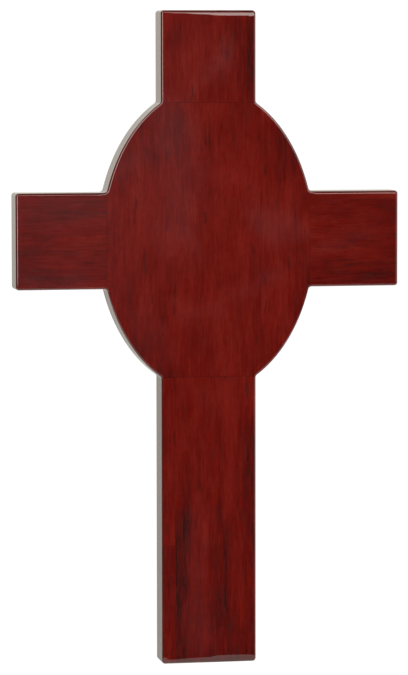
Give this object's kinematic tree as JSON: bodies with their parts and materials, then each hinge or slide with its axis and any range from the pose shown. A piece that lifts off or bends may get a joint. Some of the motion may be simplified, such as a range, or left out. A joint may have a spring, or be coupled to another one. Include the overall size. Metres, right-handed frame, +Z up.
{
  "type": "wall cross",
  "caption": "Flat wooden wall cross with an oval centre, long lower arm, staved panels under a clear gloss lacquer, and a keyhole hanger let into its back.",
  "frame": {"origin": "centre of the oval on the flat back face, the face that lies against the wall", "axes": "+Z up along the stem, +Y out of the back towards the wall, so the front faces -Y; +X to the right seen from the front"},
  "size_m": [0.2034, 0.017, 0.343],
  "materials": {
    "rosewood_oval": "dark red rosewood, upright grain, clear high-gloss lacquer",
    "rosewood_top_arm": "dark red rosewood, upright grain, clear high-gloss lacquer",
    "rosewood_lower_arm": "dark red rosewood, upright grain, clear high-gloss lacquer",
    "rosewood_side_arm": "dark red rosewood, level grain, clear high-gloss lacquer",
    "beech_dowel": "bare fluted beech",
    "hanger_brass": "thin brass-plated steel plate, brushed",
    "screw_steel": "zinc-plated countersunk screw"
  },
  "bodies": {
    "root": {"oval_stave_1": "rosewood_oval", "oval_stave_2": "rosewood_oval", "oval_stave_3": "rosewood_oval", "oval_stave_4": "rosewood_oval", "oval_stave_5": "rosewood_oval", "top_arm_stave_1": "rosewood_top_arm", "top_arm_stave_2": "rosewood_top_arm", "top_arm_stave_3": "rosewood_top_arm", "lower_arm_stave_1_upper": "rosewood_lower_arm", "lower_arm_stave_1_foot": "rosewood_lower_arm", "lower_arm_stave_2": "rosewood_lower_arm", "lower_arm_stave_3": "rosewood_lower_arm", "left_arm_stave_1": "rosewood_side_arm", "left_arm_stave_2": "rosewood_side_arm", "left_arm_stave_3": "rosewood_side_arm", "right_arm_stave_1": "rosewood_side_arm", "right_arm_stave_2": "rosewood_side_arm", "right_arm_stave_3": "rosewood_side_arm", "top_dowel_1": "beech_dowel", "top_dowel_2": "beech_dowel", "lower_dowel_1": "beech_dowel", "lower_dowel_2": "beech_dowel", "left_dowel_1": "beech_dowel", "left_dowel_2": "beech_dowel", "right_dowel_1": "beech_dowel", "right_dowel_2": "beech_dowel", "hanger_plate": "hanger_brass", "hanger_screw_1": "screw_steel", "hanger_screw_2": "screw_steel"}
  },
  "joints": []
}
